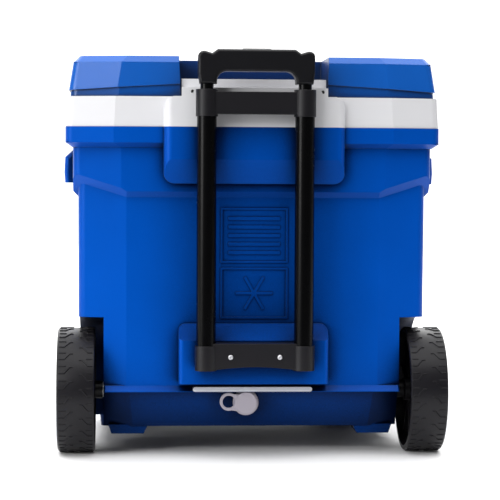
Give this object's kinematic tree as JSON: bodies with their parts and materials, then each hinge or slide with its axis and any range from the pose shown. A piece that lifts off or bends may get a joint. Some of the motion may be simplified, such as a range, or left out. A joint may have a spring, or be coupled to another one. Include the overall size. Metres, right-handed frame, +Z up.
{
  "type": "cooler on wheels",
  "caption": "Insulated hard cooler with a hinged lid, large rear wheels, a telescoping pull handle with a release button, side grips and a drain plug.",
  "frame": {"origin": "on the ground, under the middle of the whole object with the lid shut and the handle pushed in", "axes": "+Z up, +Y towards the front of the cooler, the pull handle is on the -Y side, wheels spin about X"},
  "size_m": [0.5046, 0.4723, 0.5235],
  "materials": {
    "blue_shell": "moulded polyethylene with a fine leather grain, satin",
    "white_liner": "moulded white polypropylene, satin",
    "foam": "rigid closed-cell polyurethane foam, cut surface",
    "blue_lid": "moulded polyethylene with a fine leather grain, satin",
    "grey_drain": "soft grey thermoplastic",
    "axle_steel": "zinc plated drawn steel",
    "screw_steel": "zinc plated steel",
    "spring_steel": "drawn spring steel wire",
    "black_bracket": "black glass-filled nylon, satin",
    "black_grip": "black moulded plastic with a fine grain",
    "button_plastic": "black moulded plastic, smooth",
    "wheel_plastic": "black moulded polyethylene with moulded tread",
    "tube_black": "black powder-coated steel tube",
    "bush_plastic": "black acetal guide parts"
  },
  "bodies": {
    "body": {"outer_shell": "blue_shell", "inner_liner": "white_liner", "top_band": "white_liner", "foam_insulation": "foam", "drain_spout": "grey_drain", "axle": "axle_steel", "ledge_strip": "axle_steel", "upper_bracket": "black_bracket", "lower_bracket": "black_bracket", "lower_bracket_screws": "screw_steel", "axle_washer_left": "screw_steel", "axle_washer_right": "screw_steel", "push_nut_left": "screw_steel", "push_nut_right": "screw_steel", "hinge_pin_left": "screw_steel", "hinge_pin_right": "screw_steel", "outer_tube_left": "tube_black", "outer_tube_right": "tube_black", "outer_bush_left": "bush_plastic", "outer_bush_right": "bush_plastic"},
    "lid": {"lid_shell": "blue_lid", "lid_liner": "white_liner", "lid_foam": "foam"},
    "wheel_l": {"wheel_left": "wheel_plastic"},
    "wheel_r": {"wheel_right": "wheel_plastic"},
    "plug": {"drain_plug": "grey_drain"},
    "middle_stage": {"middle_tube_left": "tube_black", "middle_tube_right": "tube_black", "middle_bush_left": "bush_plastic", "middle_bush_right": "bush_plastic", "middle_slider_left": "bush_plastic", "middle_slider_right": "bush_plastic"},
    "inner_stage": {"inner_tube_left": "tube_black", "inner_tube_right": "tube_black", "lock_block_left": "bush_plastic", "lock_block_right": "bush_plastic", "lock_pin_left": "spring_steel", "lock_pin_right": "spring_steel", "button_spring_left": "spring_steel", "button_spring_right": "spring_steel", "grip_back": "black_grip", "grip_front": "black_grip", "grip_screws": "screw_steel"},
    "button": {"release_button": "button_plastic", "release_rod_left": "spring_steel", "release_rod_right": "spring_steel"}
  },
  "joints": [
    {"name": "lid_hinge", "type": "hinge", "parent": "body", "child": "lid", "pos_m": [0, -0.19, 0.47], "axis": [1, 0, 0], "range_deg": [0, 75]},
    {"name": "wheel_left_spin", "type": "hinge", "parent": "body", "child": "wheel_l", "pos_m": [-0.227, -0.126, 0.082], "axis": [1, 0, 0], "continuous": true},
    {"name": "wheel_right_spin", "type": "hinge", "parent": "body", "child": "wheel_r", "pos_m": [0.227, -0.126, 0.082], "axis": [1, 0, 0], "continuous": true},
    {"name": "handle_lower_slide", "type": "slide", "parent": "body", "child": "middle_stage", "axis": [0, 0, 1], "range_m": [0, 0.24]},
    {"name": "handle_upper_slide", "type": "slide", "parent": "middle_stage", "child": "inner_stage", "axis": [0, 0, 1], "range_m": [0, 0.24]},
    {"name": "button_press", "type": "slide", "parent": "inner_stage", "child": "button", "axis": [0, 0, -1], "range_m": [0, 0.004], "stiffness_N_per_m": 400, "deforming": ["button_spring_left", "button_spring_right"]},
    {"name": "plug_pull", "type": "slide", "parent": "body", "child": "plug", "axis": [0, -1, 0], "range_m": [0, 0.018]}
  ]
}
